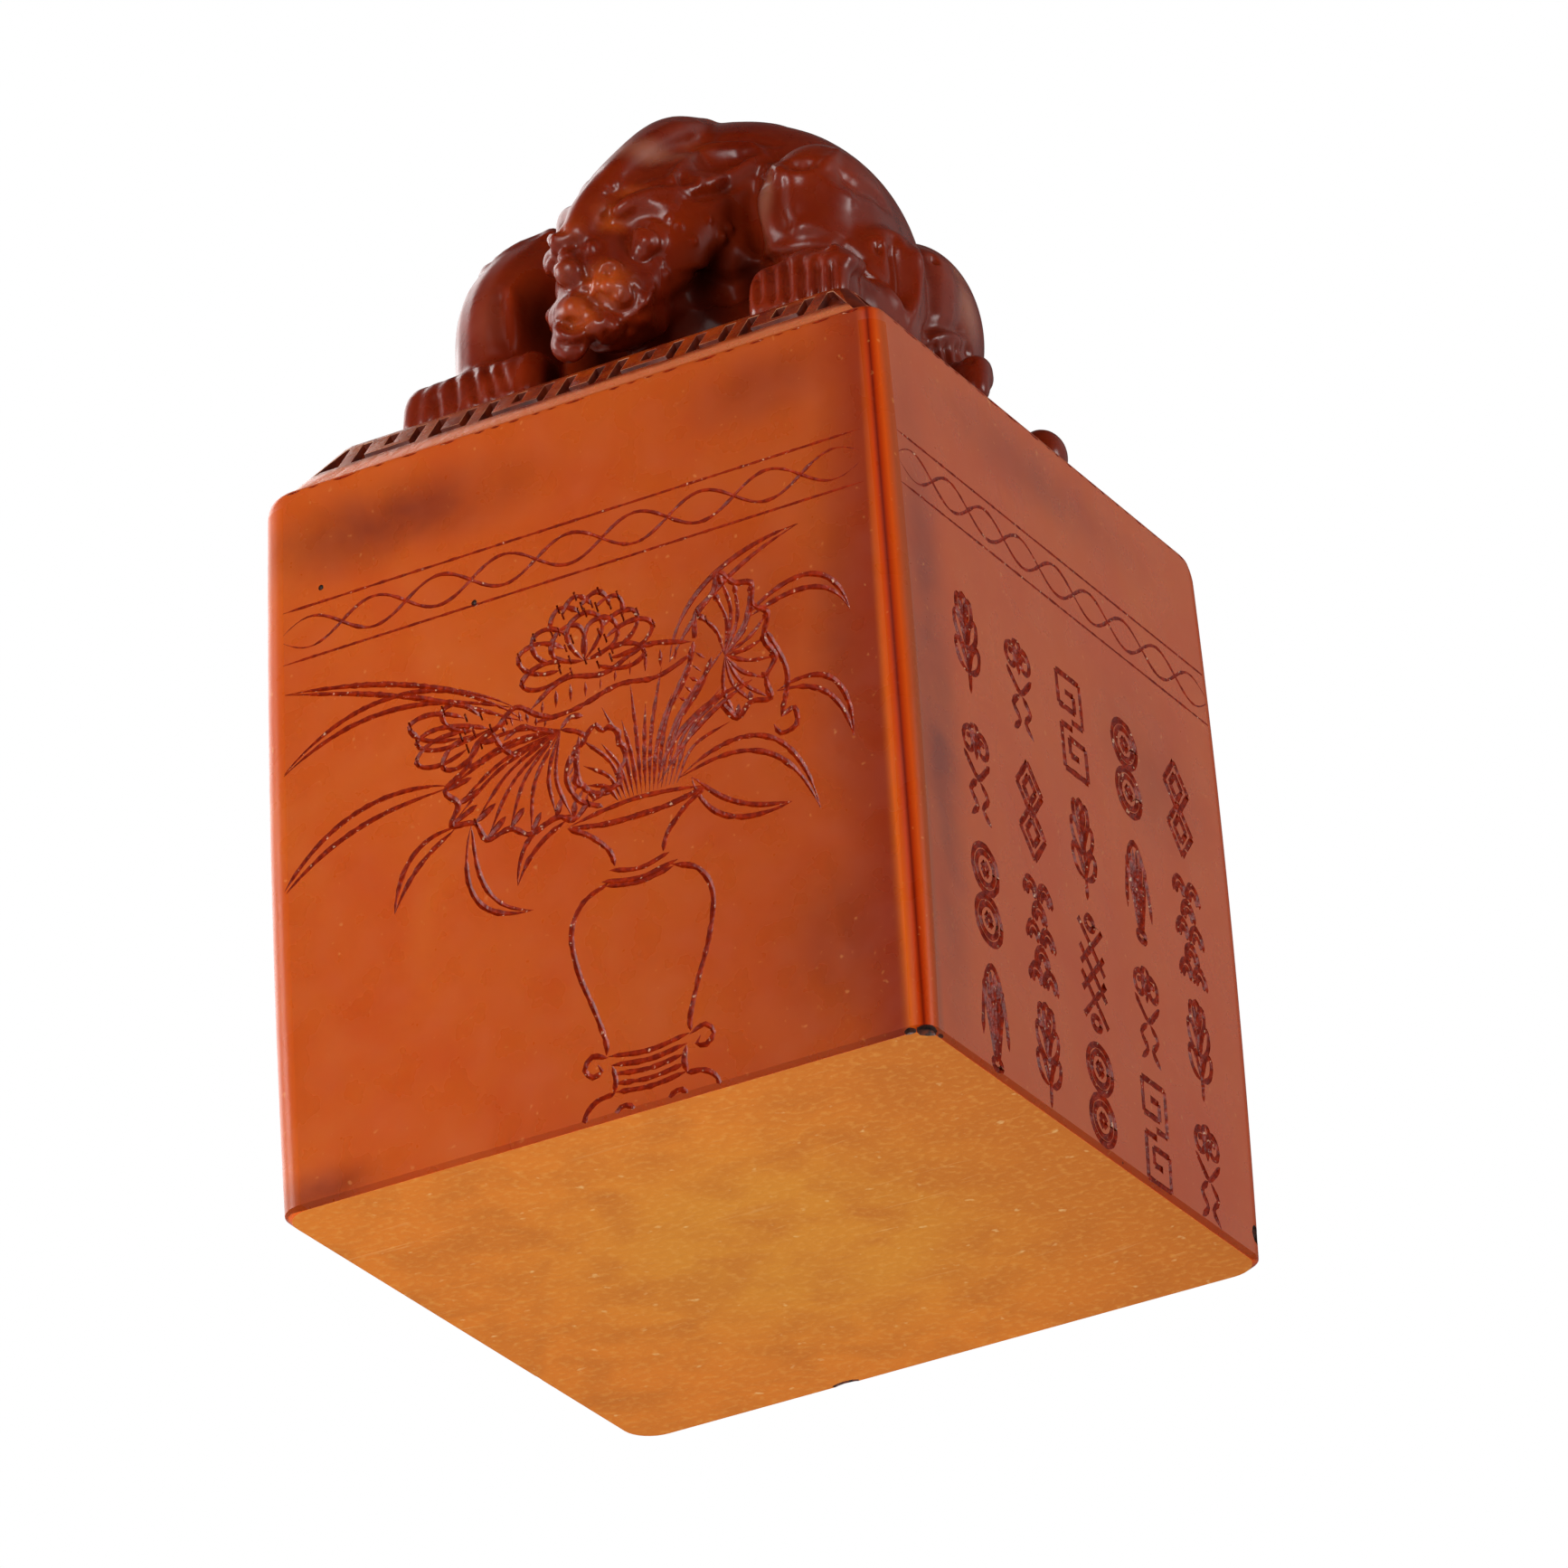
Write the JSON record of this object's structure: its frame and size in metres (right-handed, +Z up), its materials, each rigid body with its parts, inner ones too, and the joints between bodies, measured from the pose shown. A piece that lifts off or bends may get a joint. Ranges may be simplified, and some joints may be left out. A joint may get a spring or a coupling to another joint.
{
  "type": "seal stamp",
  "caption": "Square carved-stone seal with a flat printing face, a bevelled shoulder with a fret band and a crouching lion as its knob.",
  "frame": {"origin": "centre of the flat printing face, at the bottom of the stone", "axes": "+Z up from the printing face to the lion, -Y the way the lion faces, +X the lion's left side"},
  "size_m": [0.0504, 0.0488, 0.0836],
  "materials": {
    "amber_stone": "hand-polished and waxed amber-orange soapstone",
    "dark_stone": "hand-polished and waxed dark red-brown soapstone"
  },
  "bodies": {
    "root": {"seal_block": "amber_stone", "fret_shoulder": "dark_stone", "lion_head": "dark_stone", "lion_left_ear": "dark_stone", "lion_right_ear": "dark_stone", "lion_left_foreleg": "dark_stone", "lion_right_foreleg": "dark_stone", "lion_left_hind_leg": "dark_stone", "lion_right_hind_leg": "dark_stone", "lion_tail": "dark_stone", "lion_torso": "dark_stone"}
  },
  "joints": []
}
